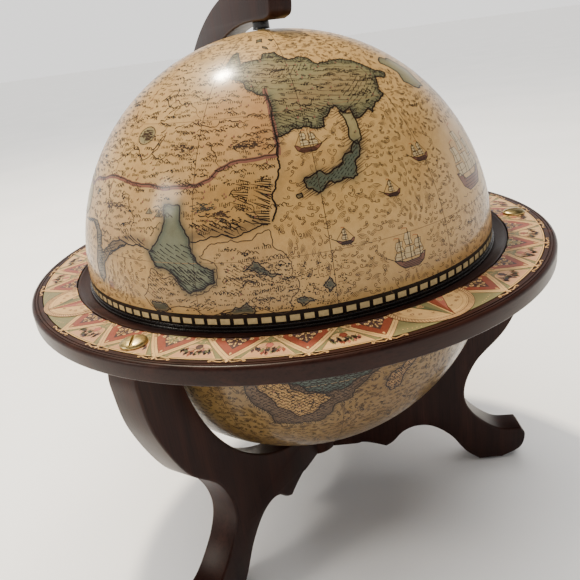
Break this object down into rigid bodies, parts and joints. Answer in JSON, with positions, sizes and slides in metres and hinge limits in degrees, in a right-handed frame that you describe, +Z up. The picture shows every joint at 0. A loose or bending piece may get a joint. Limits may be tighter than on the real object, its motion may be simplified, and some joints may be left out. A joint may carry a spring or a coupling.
{
  "type": "tabletop opening globe",
  "caption": "Tabletop map globe in a wooden horizon ring on curved sawn legs; a hinged meridian arm lifts its upper half, which also turns about its pole.",
  "frame": {"origin": "on the globe's vertical axis at table level, under the middle of the horizon ring", "axes": "+Z up along the globe's axis; +Y towards the hinge and the third leg; +X to the right seen from the front"},
  "size_m": [0.4214, 0.4214, 0.4514],
  "materials": {
    "stained_wood": "dark brown stain under satin lacquer",
    "map_print": "printed antique-style map under gloss lacquer",
    "horizon_print": "printed border under semi-gloss lacquer",
    "black_plastic": "glossy",
    "brass": "worn satin",
    "steel": "zinc-plated",
    "felt": "dark green felt",
    "dowel_wood": "plain beech",
    "nylon": "natural"
  },
  "bodies": {
    "stand": {"horizon_ring": "stained_wood", "horizon_print": "horizon_print", "leg_1": "stained_wood", "leg_2": "stained_wood", "leg_3": "stained_wood", "leg_hub": "stained_wood", "leg_dowel_1": "dowel_wood", "leg_dowel_2": "dowel_wood", "leg_dowel_3": "dowel_wood", "foot_pad_1": "felt", "foot_pad_2": "felt", "foot_pad_3": "felt", "leg_insert_1": "brass", "leg_insert_2": "brass", "ring_bolt_1": "brass", "ring_bolt_2": "brass", "lower_bowl": "map_print", "bowl_washer": "steel", "bowl_screw": "steel", "lower_rim": "black_plastic", "rim_screw_1": "steel", "rim_screw_2": "steel", "rim_screw_3": "steel", "hinge_leaf_ring": "brass", "ring_hinge_screw_1": "brass", "ring_hinge_screw_2": "brass", "hinge_pin": "brass"},
    "arm": {"meridian_arm": "stained_wood", "hinge_leaf_arm": "brass", "arm_hinge_screw_1": "brass", "arm_hinge_screw_2": "brass", "pole_spacer": "black_plastic", "pole_top_washer": "brass", "pole_bolt": "brass", "pole_inner_washer": "steel", "pole_nut": "steel"},
    "dome": {"upper_dome": "map_print", "upper_rim": "black_plastic", "pole_bush": "nylon"}
  },
  "joints": [
    {"name": "lid_hinge", "type": "hinge", "parent": "stand", "child": "arm", "pos_m": [0, 0.206, 0.2498], "axis": [-1, 0, 0], "range_deg": [0, 75]},
    {"name": "dome_spin", "type": "hinge", "parent": "arm", "child": "dome", "pos_m": [0, 0, 0.4133], "axis": [0, 0, 1], "continuous": true}
  ]
}
